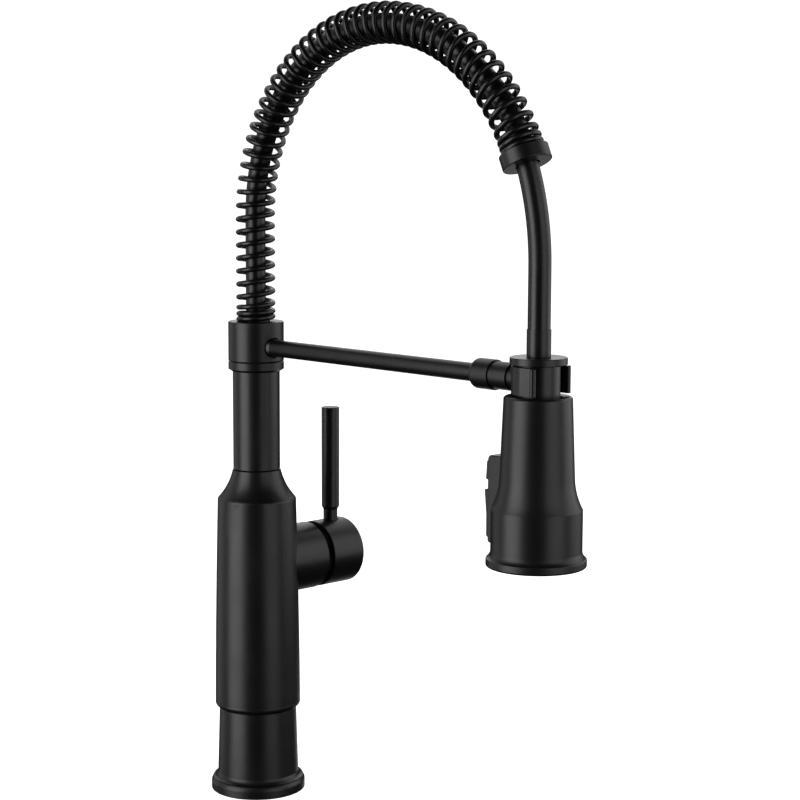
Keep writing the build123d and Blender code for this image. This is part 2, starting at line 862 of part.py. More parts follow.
with BuildPart() as spray_plate:
    with BuildSketch(wand_level(face_bottom)):
        Circle(plate_r)
        Circle(aerator_r + fit, mode=Mode.SUBTRACT)
        for ring_r, count in nozzle_rings:
            with PolarLocations(ring_r, count):
                Circle(nozzle_r + fit, mode=Mode.SUBTRACT)
    extrude(amount=face_top - face_bottom)
spray_plate.part.label = "spray_plate"
export_step(spray_plate.part, "parts/spray_plate.step")

mat_top = 179.6
nozzle_tip = 174.8

with BuildPart() as nozzle_mat:
    with BuildSketch(wand_level(face_top)):
        Circle(plate_r)
        Circle(aerator_r + fit, mode=Mode.SUBTRACT)
    extrude(amount=mat_top - face_top)
    with BuildSketch(wand_level(nozzle_tip)):
        for ring_r, count in nozzle_rings:
            with PolarLocations(ring_r, count):
                Circle(nozzle_r)
    extrude(amount=face_top - nozzle_tip)
    with BuildSketch(wand_level(nozzle_tip)):
        for ring_r, count in nozzle_rings:
            with PolarLocations(ring_r, count):
                Circle(jet_r)
    extrude(amount=mat_top - nozzle_tip, mode=Mode.SUBTRACT)
nozzle_mat.part.label = "nozzle_mat"
export_step(nozzle_mat.part, "parts/nozzle_mat.step")

aerator_top = 182.5
aerator_cell = 2.4
aerator_cell_r = 0.95

with BuildPart() as aerator:
    with BuildSketch(wand_level(face_bottom - 0.4)):
        Circle(aerator_r)
    extrude(amount=aerator_top - face_bottom + 0.4)
    with BuildSketch(wand_level(face_bottom - 0.4)):
        with HexLocations(aerator_cell / 2, 5, 5):
            RegularPolygon(aerator_cell_r, 6)
    extrude(amount=aerator_top - face_bottom, mode=Mode.SUBTRACT)
aerator.part.label = "aerator"
export_step(aerator.part, "parts/aerator.step")

# ---------------------------------------------------------------- diverter inside the wand
core_r = 13.0
core_bottom = 183.0
core_flange_top = 186.0
core_top = 240.0
waterway_r = 7.4
waterway_top = 251.8
wand_seal_levels = (243.0, 247.5)
wand_groove_r = 6.6
plunger_r = 2.3
plunger_tip = -25.3      # outer end of the plunger, from the wand axis
plunger_depth = 4.0      # how near the plunger's hole comes to the wand axis

with BuildPart() as diverter_body:
    with BuildSketch(wand_section):
        with BuildLine():
            Polyline(
                (0, core_bottom),
                (bell_bore_r - fit, core_bottom),
                (bell_bore_r - fit, core_flange_top),
                (core_r, core_flange_top),
                (core_r, core_top),
                (waterway_r, core_top),
                (waterway_r, waterway_top),
                (0, waterway_top),
                close=True,
            )
        make_face()
    revolve(axis=wand_axis)
    for level in wand_seal_levels:
        with BuildSketch(wand_level(level)):
            Circle(waterway_r)
            Circle(wand_groove_r, mode=Mode.SUBTRACT)
        extrude(amount=seal_h + 0.1, mode=Mode.SUBTRACT)
    with BuildSketch(wand_level(plunger_z + 6)):
        Circle(water_r)
    extrude(amount=waterway_top - plunger_z, mode=Mode.SUBTRACT)
    with BuildSketch(wand_level(core_bottom)):
        Circle(water_r)
    extrude(amount=plunger_z - 6 - core_bottom, mode=Mode.SUBTRACT)
    with BuildSketch(
        Plane(origin=(reach - plunger_depth, 0, plunger_z), x_dir=(0, 1, 0), z_dir=(-1, 0, 0))
    ):
        Circle(plunger_r + 2 * fit)
    extrude(amount=core_r, mode=Mode.SUBTRACT)
diverter_body.part.label = "diverter_body"
export_step(diverter_body.part, "parts/diverter_body.step")

with BuildPart() as wand_seals:
    for level in wand_seal_levels:
        with BuildSketch(wand_level(level + 0.05)):
            Circle(waterway_r + 0.5)
            Circle(wand_groove_r, mode=Mode.SUBTRACT)
        extrude(amount=seal_h)
wand_seals.part.label = "wand_seals"
export_step(wand_seals.part, "parts/wand_seals.step")

with BuildPart() as check_valve:
    with BuildSketch(wand_level(waterway_top + 2.4)):
        Circle(collar_bore_r - fit)
        Circle(feed_r, mode=Mode.SUBTRACT)
    extrude(amount=tail_bottom - 0.5 - waterway_top - 2.4)
check_valve.part.label = "check_valve"
export_step(check_valve.part, "parts/check_valve.step")

with BuildPart() as diverter_plunger:
    with BuildSketch(
        Plane(origin=(reach + plunger_tip, 0, plunger_z), x_dir=(0, 1, 0), z_dir=(1, 0, 0))
    ):
        Circle(plunger_r)
    extrude(amount=-plunger_tip - plunger_depth - 1.6)
diverter_plunger.part.label = "diverter_plunger"
export_step(diverter_plunger.part, "parts/diverter_plunger.step")

# ---------------------------------------------------------------- rocker toggle on the wand
pocket_floor = -23.6
pocket_half = 6.8
pocket_bottom = 185.6
pocket_top = 229.0
rocker_half = pocket_half - free
rocker_back = -25.6
lug_r = 2.2
pin_r = 0.9
pin_half = 8.0

# Solid of the wand's own outside, which the housing is cut to.
with BuildPart() as wand_envelope:
    with BuildSketch(wand_section):
        with BuildLine():
            Polyline(
                (flare_top_r, flare_top_z),
                (cone_top_r, wand_top),
                (0, wand_top),
                (0, toggle_bottom - 5),
                (bell_r, toggle_bottom - 5),
                (bell_r, bell_top),
            )
            ThreePointArc((bell_r, bell_top), flare_mid, (flare_top_r, flare_top_z))
        make_face()
    revolve(axis=wand_axis)

with BuildPart() as toggle_housing:
    with BuildSketch(wand_section) as housing_outline:
        with BuildLine():
            Polyline(
                (-12, toggle_bottom),
                (toggle_x, toggle_bottom),
                (toggle_x, toggle_top),
                (-12, toggle_top),
                close=True,
            )
        make_face()
        fillet(corner(housing_outline, toggle_x, toggle_top), 2.4)
        fillet(corner(housing_outline, toggle_x, toggle_bottom), 1.6)
    extrude(amount=toggle_half, both=True)
    housing_face = toggle_housing.faces().sort_by(Axis.X)[0]
    fillet(housing_face.edges().filter_by(Axis.Z), 1.0)
    add(wand_envelope.part, mode=Mode.SUBTRACT)
    with BuildSketch(wand_section):
        with BuildLine():
            Polyline(
                (pocket_floor, pocket_bottom),
                (toggle_x - 1, pocket_bottom),
                (toggle_x - 1, pocket_top),
                (pocket_floor, pocket_top),
                close=True,
            )
        make_face()
    extrude(amount=pocket_half, both=True, mode=Mode.SUBTRACT)
    with BuildSketch(wand_section):
        with Locations((toggle_pin_x, toggle_pin_z)):
            Circle(pin_r)
    extrude(amount=pin_half + fit, both=True, mode=Mode.SUBTRACT)
    with BuildSketch(Plane(origin=(reach, 0, plunger_z), x_dir=(0, 1, 0), z_dir=(-1, 0, 0))):
        Circle(plunger_r + free)
    extrude(amount=-toggle_x, mode=Mode.SUBTRACT)
toggle_housing.part.label = "toggle_housing"
export_step(toggle_housing.part, "parts/toggle_housing.step")

with BuildPart() as toggle_pin:
    with BuildSketch(wand_section):
        with Locations((toggle_pin_x, toggle_pin_z)):
            Circle(pin_r)
    extrude(amount=pin_half, both=True)
toggle_pin.part.label = "toggle_pin"
export_step(toggle_pin.part, "parts/toggle_pin.step")

with BuildPart() as spray_toggle:
    with BuildSketch(wand_section) as rocker_outline:
        with BuildLine():
            Polyline(
                (rocker_back, 228.2),
                (-30.0, 228.2),
                (-30.8, 217.9),
                (-29.3, 217.3),
                (-29.3, 212.7),
                (-31.7, 211.9),
                (-30.4, 199.0),
                (-30.4, 186.6),
                (rocker_back, 186.6),
                close=True,
            )
        make_face()
        fillet(corner(rocker_outline, -30.0, 228.2), 1.6)
        fillet(corner(rocker_outline, -30.4, 186.6), 1.2)
        with Locations((toggle_pin_x, toggle_pin_z)):
            Circle(lug_r)
            Circle(pin_r + fit, mode=Mode.SUBTRACT)
    extrude(amount=rocker_half, both=True)
spray_toggle.part.label = "spray_toggle"
export_step(spray_toggle.part, "parts/spray_toggle.step")

# ---------------------------------------------------------------- valve cartridge
disc_start = 12.0        # ceramic discs, along the handle axis
disc_h = 3.0
driver_top = 23.2
carrier_start = 23.7
carrier_end = 32.7
housing_bore_r = 12.8
port_r = 2.0
port_seal_w = 1.15
port_seal_h = 1.6
driver_r = 9.5

with BuildPart() as cartridge_housing:
    with BuildSketch(across(valve_floor)):
        Circle(cartridge_r)
    extrude(amount=valve_end - valve_floor)
    with BuildSketch(across(disc_start)):
        Circle(housing_bore_r)
    extrude(amount=valve_end - disc_start, mode=Mode.SUBTRACT)
    with BuildSketch(across(valve_floor)):
        with Locations((-inlet_x, 0), (inlet_x, 0), (0, -outlet_rise)):
            Circle(port_r)
    extrude(amount=disc_start - valve_floor, mode=Mode.SUBTRACT)
    with BuildSketch(across(valve_floor)):
        with Locations((-inlet_x, 0), (inlet_x, 0), (0, -outlet_rise)):
            Circle(port_r + port_seal_w + fit)
    extrude(amount=port_seal_h, mode=Mode.SUBTRACT)
cartridge_housing.part.label = "cartridge_housing"
export_step(cartridge_housing.part, "parts/cartridge_housing.step")

with BuildPart() as base_seals:
    with BuildSketch(across(valve_floor)):
        with Locations((-inlet_x, 0), (inlet_x, 0), (0, -outlet_rise)):
            Circle(port_r + port_seal_w)
        with Locations((-inlet_x, 0), (inlet_x, 0), (0, -outlet_rise)):
            Circle(port_r, mode=Mode.SUBTRACT)
    extrude(amount=port_seal_h)
base_seals.part.label = "base_seals"
export_step(base_seals.part, "parts/base_seals.step")

with BuildPart() as fixed_disc:
    with BuildSketch(across(disc_start)):
        Circle(housing_bore_r - fit)
        with Locations((-inlet_x, 0), (inlet_x, 0), (0, -outlet_rise)):
            Circle(port_r, mode=Mode.SUBTRACT)
    extrude(amount=disc_h)
fixed_disc.part.label = "fixed_disc"
export_step(fixed_disc.part, "parts/fixed_disc.step")

moving_disc_r = 10.0
pocket_w = 5.5           # half sizes of the mixing pocket under the moving disc
pocket_h = 3.5
pocket_rise = 2.5
disc_pocket_floor = 1.0

with BuildPart() as moving_disc:
    with BuildSketch(across(disc_start + disc_h)):
        Circle(moving_disc_r)
    extrude(amount=disc_h)
    with BuildSketch(across(disc_start + disc_h)):
        with Locations((0, pocket_rise)):
            Ellipse(pocket_w, pocket_h)
    extrude(amount=disc_h - disc_pocket_floor, mode=Mode.SUBTRACT)
moving_disc.part.label = "moving_disc"
export_step(moving_disc.part, "parts/moving_disc.step")

ball_y = pivot_y - ball_drop
socket_floor = ball_y - ball_r - free

with BuildPart() as disc_driver:
    with BuildSketch(across(disc_start + 2 * disc_h)):
        Circle(driver_r)
    extrude(amount=driver_top - disc_start - 2 * disc_h)
    with BuildSketch(across(socket_floor)):
        Circle(ball_r + 0.5)
    extrude(amount=driver_top - socket_floor, mode=Mode.SUBTRACT)
disc_driver.part.label = "disc_driver"
export_step(disc_driver.part, "parts/disc_driver.step")

stem_pin_r = 1.5
stem_pin_half = 11.0
stem_slot = 14.0

with BuildPart() as cartridge_carrier:
    with BuildSketch(across(carrier_start)):
        Circle(carrier_r)
        Rectangle(2 * stem_r + 0.4, stem_slot, mode=Mode.SUBTRACT)
    extrude(amount=carrier_end - carrier_start)
    with BuildSketch(Plane(origin=(0, pivot_y, handle_z), x_dir=(0, 1, 0), z_dir=(1, 0, 0))):
        Circle(stem_pin_r)
    extrude(amount=stem_pin_half, both=True, mode=Mode.SUBTRACT)
cartridge_carrier.part.label = "cartridge_carrier"
export_step(cartridge_carrier.part, "parts/cartridge_carrier.step")

with BuildPart() as stem_pin:
    with BuildSketch(Plane(origin=(0, pivot_y, handle_z), x_dir=(0, 1, 0), z_dir=(1, 0, 0))):
        Circle(stem_pin_r)
    extrude(amount=stem_pin_half, both=True)
stem_pin.part.label = "stem_pin"
export_step(stem_pin.part, "parts/stem_pin.step")

nut_start = 33.1
nut_end = 37.0
nut_bore_r = 10.0

with BuildPart() as bonnet_nut:
    with BuildSketch(across(nut_start)):
        Circle(boss_bore_r - fit)
        Circle(nut_bore_r, mode=Mode.SUBTRACT)
    extrude(amount=nut_end - nut_start)
bonnet_nut.part.label = "bonnet_nut"
export_step(bonnet_nut.part, "parts/bonnet_nut.step")

# The dome is a shell of two spheres about the pivot, so the hub turns over it at any tilt.
dome_r = 17.0
dome_bore_r = 15.5
dome_flange = 1.5
dome_base = nut_end - pivot_y
dome_mouth_angle = 37.0


def on_dome(radius, angle):
    """Point at an angle from the handle axis on a sphere about the pivot."""
    return (pivot_y + radius * cos(radians(angle)), radius * sin(radians(angle)))


dome_outer_r = (dome_r**2 - (dome_base + dome_flange) ** 2) ** 0.5
dome_inner_r = (dome_bore_r**2 - dome_base**2) ** 0.5

with BuildPart() as bonnet_dome:
    with BuildSketch(handle_section):
        with BuildLine():
            ThreePointArc(
                (nut_end + dome_flange, dome_outer_r),
                on_dome(dome_r, 48),
                on_dome(dome_r, dome_mouth_angle),
            )
            Line(on_dome(dome_r, dome_mouth_angle), on_dome(dome_bore_r, dome_mouth_angle))
            ThreePointArc(
                on_dome(dome_bore_r, dome_mouth_angle),
                on_dome(dome_bore_r, 50),
                (nut_end, dome_inner_r),
            )
            Polyline(
                (nut_end, dome_inner_r),
                (nut_end, boss_bore_r - fit),
                (nut_end + dome_flange, boss_bore_r - fit),
                (nut_end + dome_flange, dome_outer_r),
            )
        make_face()
    revolve(axis=handle_axis)
bonnet_dome.part.label = "bonnet_dome"
export_step(bonnet_dome.part, "parts/bonnet_dome.step")

# ---------------------------------------------------------------- handle
hub_bore_r = 17.4
hub_floor = 55.0
stem_end = 65.0
dimple_r = 5.3           # shallow dimple round the lever's neck
dimple_h = 0.7
neck_foot = handle_z + hub_r - dimple_h

with BuildPart() as valve_stem:
    with BuildSketch(handle_section):
        with BuildLine():
            Polyline(
                (ball_y, 0),
                (ball_y, 1.8),
                (pivot_y - 5, 1.8),
                (pivot_y - 5, stem_r),
                (stem_end - 0.4, stem_r),
                (stem_end, stem_r - 0.4),
                (stem_end, 0),
                close=True,
            )
        make_face()
    revolve(axis=handle_axis)
    with Locations((0, ball_y, handle_z)):
        Sphere(ball_r)
    with BuildSketch(Plane(origin=(0, pivot_y, handle_z), x_dir=(0, 1, 0), z_dir=(1, 0, 0))):
        Circle(stem_pin_r + fit)
    extrude(amount=stem_r, both=True, mode=Mode.SUBTRACT)
valve_stem.part.label = "valve_stem"
export_step(valve_stem.part, "parts/valve_stem.step")

lever_tail_r = 3.0
lever_tail_bottom = handle_z + stem_r + 2.5
screw_r = 2.5

with BuildPart() as handle_hub:
    with BuildSketch(handle_section) as hub_outline:
        with BuildLine():
            Polyline(
                (hub_floor, 0),
                (hub_floor, hub_bore_r),
                (hub_start, hub_bore_r),
                (hub_start, hub_r),
                (hub_end, hub_r),
                (hub_end, 0),
                close=True,
            )
        make_face()
        fillet(corner(hub_outline, hub_end, hub_r), 1.8)
        fillet(corner(hub_outline, hub_start, hub_r), 0.5)
    revolve(axis=handle_axis)
    with BuildSketch(across(hub_floor)):
        Circle(stem_r + fit)
    extrude(amount=stem_end + 0.5 - hub_floor, mode=Mode.SUBTRACT)
    with BuildSketch(Plane(origin=(0, lever_y, lever_tail_bottom - 0.3))):
        Circle(lever_tail_r + fit)
    extrude(amount=hub_r, mode=Mode.SUBTRACT)
    with BuildSketch(Plane(origin=(0, lever_y, neck_foot))):
        Circle(dimple_r)
    extrude(amount=hub_r, mode=Mode.SUBTRACT)
    with BuildSketch(Plane(origin=(0, lever_y, handle_z))):
        Circle(screw_r + fit)
    extrude(amount=-hub_r, mode=Mode.SUBTRACT)
handle_hub.part.label = "handle_hub"
export_step(handle_hub.part, "parts/handle_hub.step")

rod_bottom = 166.0
rod_taper = 1.9
lever_neck_r = 4.4

with BuildPart() as handle_lever:
    with BuildSketch(lever_section) as lever_outline:
        with BuildLine():
            Polyline(
                (0, lever_tail_bottom),
                (lever_tail_r, lever_tail_bottom),
                (lever_tail_r, neck_foot),
                (lever_neck_r, neck_foot),
                (lever_neck_r, rod_bottom),
                (lever_r - 1.2, rod_bottom),
                (lever_r, rod_bottom + rod_taper),
                (lever_r, lever_top),
                (0, lever_top),
                close=True,
            )
        make_face()
        fillet(corner(lever_outline, lever_r, lever_top), 0.5)
        fillet(corner(lever_outline, lever_r, rod_bottom + rod_taper), 0.6)
    revolve(axis=lever_axis)
handle_lever.part.label = "handle_lever"
export_step(handle_lever.part, "parts/handle_lever.step")

screw_tip = handle_z - stem_r - 0.1
screw_h = 9.0
screw_socket = 1.4
socket_h = 2.5

with BuildPart() as hub_set_screw:
    with BuildSketch(Plane(origin=(0, lever_y, screw_tip))):
        Circle(screw_r)
    extrude(amount=-screw_h)
    with BuildSketch(Plane(origin=(0, lever_y, screw_tip - screw_h))):
        RegularPolygon(screw_socket, 6)
    extrude(amount=socket_h, mode=Mode.SUBTRACT)
hub_set_screw.part.label = "hub_set_screw"
export_step(hub_set_screw.part, "parts/hub_set_screw.step")
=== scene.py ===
import json
import math

import bpy
import numpy as np
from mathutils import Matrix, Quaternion, Vector


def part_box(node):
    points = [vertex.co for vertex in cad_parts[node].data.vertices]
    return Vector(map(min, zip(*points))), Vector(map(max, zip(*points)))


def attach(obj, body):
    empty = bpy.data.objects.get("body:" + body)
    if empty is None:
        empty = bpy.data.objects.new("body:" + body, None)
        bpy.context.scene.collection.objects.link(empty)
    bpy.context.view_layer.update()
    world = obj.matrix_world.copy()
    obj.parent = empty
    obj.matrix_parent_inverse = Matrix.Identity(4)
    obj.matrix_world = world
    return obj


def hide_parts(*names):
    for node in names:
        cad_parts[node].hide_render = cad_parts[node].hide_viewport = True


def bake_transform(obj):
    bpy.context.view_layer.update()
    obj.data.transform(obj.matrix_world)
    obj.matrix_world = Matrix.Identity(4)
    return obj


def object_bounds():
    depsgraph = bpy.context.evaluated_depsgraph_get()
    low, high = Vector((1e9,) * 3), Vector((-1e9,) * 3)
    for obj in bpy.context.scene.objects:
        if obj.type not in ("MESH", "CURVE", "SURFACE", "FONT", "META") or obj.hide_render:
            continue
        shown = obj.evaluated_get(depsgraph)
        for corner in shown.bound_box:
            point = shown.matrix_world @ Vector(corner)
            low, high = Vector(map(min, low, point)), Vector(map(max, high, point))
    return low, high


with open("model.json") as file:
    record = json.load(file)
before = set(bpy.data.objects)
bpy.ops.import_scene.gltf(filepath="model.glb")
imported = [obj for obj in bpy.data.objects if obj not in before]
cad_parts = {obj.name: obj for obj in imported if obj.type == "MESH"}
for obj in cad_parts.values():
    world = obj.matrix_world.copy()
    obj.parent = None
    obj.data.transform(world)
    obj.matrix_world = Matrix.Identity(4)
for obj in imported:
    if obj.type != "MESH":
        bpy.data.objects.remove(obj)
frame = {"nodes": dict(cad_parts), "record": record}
cad_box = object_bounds()

# Single-lever faucet with an open coil spring over its hose and a docked spray wand.
# Every length is in metres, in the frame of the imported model: +Z up, +X along the dock arm.

MM = 0.001
NODES = frame["nodes"]


# ------------------------------------------------------------------ sizes
hose_low, hose_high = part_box("spray_hose")
spring_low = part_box("hose_spring")[0]
wand_low, wand_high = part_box("wand_shell")

HOSE_R = -hose_low.x
HOSE_FOOT = hose_low.z
ARCH_TOP = hose_high.z - HOSE_R
REACH = (wand_low.x + wand_high.x) / 2
SPRING_R = -spring_low.x
COLLAR_TOP = spring_low.z
LEFT_R = 110.0 * MM                # the arch's radius on the post's side, then past the top
RIGHT_R = 117.5 * MM
SPRING_ANGLE = math.radians(24.0)  # where the spring leaves the arch for its end cap
SPRING_RUN = 4.0 * MM
HOSE_ANGLE = math.radians(22.0)    # where the hose starts to bend straight down


# ------------------------------------------------------------------ camera
CAMERA_AZIMUTH = math.radians(46.5)
CAMERA_ELEVATION = math.radians(7.4)
CAMERA_DISTANCE = 1.137
CAMERA_AIM = Vector((-0.00595, -0.0040, 0.0133))    # from the middle of the object's box
CAMERA_ROLL = 0.004
LENS = 90
SENSOR = 36


def direction(azimuth, elevation):
    """Unit vector from the object towards a viewer at that azimuth and elevation."""
    level = math.cos(elevation)
    return Vector((math.sin(azimuth) * level, -math.cos(azimuth) * level, math.sin(elevation)))


def make_camera():
    aim = (cad_box[0] + cad_box[1]) / 2 + CAMERA_AIM
    back = direction(CAMERA_AZIMUTH, CAMERA_ELEVATION)
    data = bpy.data.cameras.new("camera")
    data.lens = LENS
    data.sensor_width = SENSOR
    data.clip_start = 0.05
    data.clip_end = 100
    camera = bpy.data.objects.new("camera", data)
    bpy.context.scene.collection.objects.link(camera)
    camera.location = aim + back * CAMERA_DISTANCE
    camera.rotation_mode = "QUATERNION"
    level = (-back).to_track_quat("-Z", "Y")
    camera.rotation_quaternion = level @ Quaternion((0, 0, 1), CAMERA_ROLL)
    bpy.context.scene.camera = camera


make_camera()


# ------------------------------------------------------------------ materials
NOISE_DETAIL = 2.0
NOISE_LOW, NOISE_HIGH = 0.3, 0.7    # most of the noise lies between these
CLOUD_SCALE = 40.0                  # colour and roughness drift over about 25 mm
BLUE_LIFT = 1.03                    # the blacks are a little cool


def new_material(name):
    material = bpy.data.materials.new(name)
    material.use_nodes = True
    tree = material.node_tree
    shader = tree.nodes["Principled BSDF"]
    coords = tree.nodes.new("ShaderNodeTexCoord").outputs["Object"]
    return material, tree, shader, coords


def noise(tree, coords, scale, stretch=(1, 1, 1)):
    """Noise whose features are about 1/scale metres across."""
    mapping = tree.nodes.new("ShaderNodeMapping")
    mapping.inputs["Scale"].default_value = stretch
    tree.links.new(coords, mapping.inputs["Vector"])
    node = tree.nodes.new("ShaderNodeTexNoise")
    node.inputs["Scale"].default_value = scale
    node.inputs["Detail"].default_value = NOISE_DETAIL
    tree.links.new(mapping.outputs["Vector"], node.inputs["Vector"])
    return node.outputs["Fac"]


def spread(tree, value, low, high):
    """Maps most of the noise onto low to high."""
    node = tree.nodes.new("ShaderNodeMapRange")
    node.inputs["From Min"].default_value = NOISE_LOW
    node.inputs["From Max"].default_value = NOISE_HIGH
    node.inputs["To Min"].default_value = low
    node.inputs["To Max"].default_value = high
    tree.links.new(value, node.inputs["Value"])
    return node.outputs["Result"]


def tint(tree, value, dark, light):
    node = tree.nodes.new("ShaderNodeMix")
    node.data_type = "RGBA"
    colour_a, colour_b = [i for i in node.inputs if i.type == "RGBA"]
    colour_a.default_value = (*dark, 1)
    colour_b.default_value = (*light, 1)
    tree.links.new(value, node.inputs["Factor"])
    return next(o for o in node.outputs if o.type == "RGBA")


def bump(tree, value, height):
    node = tree.nodes.new("ShaderNodeBump")
    node.inputs["Strength"].default_value = 1.0
    node.inputs["Distance"].default_value = height
    tree.links.new(value, node.inputs["Height"])
    return node.outputs["Normal"]


def surface(name, dark, light, rough, grain, grain_height, metallic=0.0, stretch=(1, 1, 1)):
    """A finish: colour and roughness drift over some centimetres, and a fine grain bumps it.

    rough holds the lowest and highest roughness, and how much the grain adds or takes away.
    grain is in features per metre, and grain_height in metres.
    """
    material, tree, shader, coords = new_material(name)
    drift = noise(tree, coords, CLOUD_SCALE)
    fine = noise(tree, coords, grain, stretch)
    tree.links.new(tint(tree, drift, dark, light), shader.inputs["Base Color"])
    mixed = tree.nodes.new("ShaderNodeMath")
    mixed.operation = "ADD"
    tree.links.new(spread(tree, drift, rough[0], rough[1]), mixed.inputs[0])
    tree.links.new(spread(tree, fine, -rough[2], rough[2]), mixed.inputs[1])
    tree.links.new(mixed.outputs[0], shader.inputs["Roughness"])
    tree.links.new(bump(tree, fine, grain_height), shader.inputs["Normal"])
    shader.inputs["Metallic"].default_value = metallic
    return material


def grey(value):
    return (value, value, value * BLUE_LIFT)


MATERIALS = {
    "matte_black": surface("satin_black_coating", grey(0.002), grey(0.003),
                           (0.34, 0.4, 0.03), 2600, 0.000012),
    "spring_black": surface("black_wire", grey(0.002), grey(0.003),
                            (0.28, 0.36, 0.03), 1800, 0.00001),
    "wand_black": surface("satin_black_wand", grey(0.002), grey(0.003),
                          (0.34, 0.4, 0.03), 2600, 0.000012),
    "dock_black": surface("moulded_black_dock", grey(0.002), grey(0.003),
                          (0.36, 0.44, 0.04), 1500, 0.00002),
    "face_black": surface("moulded_black_face", grey(0.002), grey(0.003),
                          (0.36, 0.44, 0.04), 1500, 0.00002),
    "toggle_black": surface("soft_black_toggle", grey(0.003), grey(0.004),
                            (0.42, 0.5, 0.04), 1500, 0.00003),
    "hose_black": surface("black_hose_cover", grey(0.002), grey(0.003),
                          (0.3, 0.37, 0.02), 900, 0.00001),
    "nozzle_rubber": surface("grey_silicone", grey(0.05), grey(0.07),
                             (0.55, 0.65, 0.05), 1200, 0.00002),
    "seal_rubber": surface("black_seal", grey(0.015), grey(0.025),
                           (0.6, 0.7, 0.05), 1200, 0.00002),
    "brass": surface("turned_brass", (0.62, 0.44, 0.2), (0.72, 0.54, 0.27),
                     (0.22, 0.32, 0.05), 900, 0.00001, 1.0, stretch=(1, 1, 12)),
    "tube_metal": surface("copper_tube", (0.6, 0.3, 0.2), (0.7, 0.38, 0.27),
                          (0.25, 0.35, 0.05), 900, 0.00001, 1.0),
    "steel": surface("turned_steel", (0.5, 0.5, 0.51), (0.62, 0.62, 0.63),
                     (0.22, 0.32, 0.05), 1500, 0.000008, 1.0),
    "acetal": surface("white_acetal", (0.7, 0.7, 0.68), (0.8, 0.8, 0.78),
                      (0.4, 0.5, 0.04), 1000, 0.00001),
    "ceramic_disc": surface("ground_ceramic", (0.8, 0.8, 0.77), (0.88, 0.88, 0.86),
                            (0.2, 0.3, 0.03), 1500, 0.000004),
}

node_slots = {s["node"]: s["material_slot"] for s in frame["record"]["subparts"]}
for node_name, node in NODES.items():
    finish = MATERIALS[node_slots[node_name]]
    if not node.material_slots:
        node.data.materials.append(None)
    for place in node.material_slots:
        place.material = finish


# ------------------------------------------------------------------ mesh helpers
def add_mesh(name, points, faces, slot):
    mesh = bpy.data.meshes.new(name)
    mesh.from_pydata([tuple(p) for p in points], [], faces)
    mesh.validate()
    mesh.polygons.foreach_set("use_smooth", [True] * len(mesh.polygons))
    piece = bpy.data.objects.new(name, mesh)
    bpy.context.scene.collection.objects.link(piece)
    piece.data.materials.append(MATERIALS[slot])
    return piece


def tube(name, path, first_side, radius, sides, slot):
    """A round tube along path. first_side holds a vector across the path for each point."""
    path = np.asarray(path, float)
    first_side = np.asarray(first_side, float)
    ahead = np.gradient(path, axis=0)
    ahead /= np.linalg.norm(ahead, axis=1)[:, None]
    first_side -= (first_side * ahead).sum(1)[:, None] * ahead
    first_side /= np.linalg.norm(first_side, axis=1)[:, None]
    second_side = np.cross(ahead, first_side)
    turn = np.linspace(0, 2 * math.pi, sides, endpoint=False)
    ring = (first_side[:, None] * np.cos(turn)[None, :, None]
            + second_side[:, None] * np.sin(turn)[None, :, None])
    points = (path[:, None] + ring * radius).reshape(-1, 3)
    faces = []
    for i in range(len(path) - 1):
        low, high = i * sides, (i + 1) * sides
        for k in range(sides):
            after = (k + 1) % sides
            faces.append((low + k, low + after, high + after, high + k))
    faces.append(tuple(reversed(range(sides))))
    faces.append(tuple(range((len(path) - 1) * sides, len(path) * sides)))
    return add_mesh(name, points, faces, slot)


# ------------------------------------------------------------------ route of the hose and spring
ROUTE_STEP = 0.25 * MM
SIDEWAYS = Vector((0, 1, 0))


def straight(start, end):
    start, end = np.asarray(start), np.asarray(end)
    count = max(2, int(np.linalg.norm(end - start) / ROUTE_STEP))
    return start + np.linspace(0, 1, count)[:, None] * (end - start)


def arc(centre, radius, start, end):
    count = max(2, int(abs(end - start) * radius / ROUTE_STEP))
    turn = np.linspace(start, end, count)
    return np.asarray(centre) + radius * np.stack([np.cos(turn), np.sin(turn)], axis=1)


class Route:
    """A centre line in the XZ plane, looked up by length along it."""

    def __init__(self, *parts):
        points = np.concatenate([parts[0]] + [part[1:] for part in parts[1:]])
        steps = np.linalg.norm(np.diff(points, axis=0), axis=1)
        self.points = points
        self.lengths = np.concatenate([[0], np.cumsum(steps)])
        self.length = float(self.lengths[-1])

    def at(self, s):
        return Vector((float(np.interp(s, self.lengths, self.points[:, 0])), 0,
                       float(np.interp(s, self.lengths, self.points[:, 1]))))

    def look(self, s):
        """Point, heading, and the side that faces the inside of the arch."""
        heading = (self.at(s + ROUTE_STEP) - self.at(s - ROUTE_STEP)).normalized()
        return self.at(s), heading, Vector((heading.z, 0, -heading.x))


left_centre = (LEFT_R, ARCH_TOP - LEFT_R)
right_centre = (LEFT_R, ARCH_TOP - RIGHT_R)


def spring_route():
    right_arc = arc(right_centre, RIGHT_R, math.pi / 2, SPRING_ANGLE)
    ahead = np.array([math.sin(SPRING_ANGLE), -math.cos(SPRING_ANGLE)])
    return Route(straight((0, COLLAR_TOP), (0, left_centre[1])),
                 arc(left_centre, LEFT_R, math.pi, math.pi / 2),
                 right_arc,
                 straight(right_arc[-1], right_arc[-1] + ahead * SPRING_RUN))


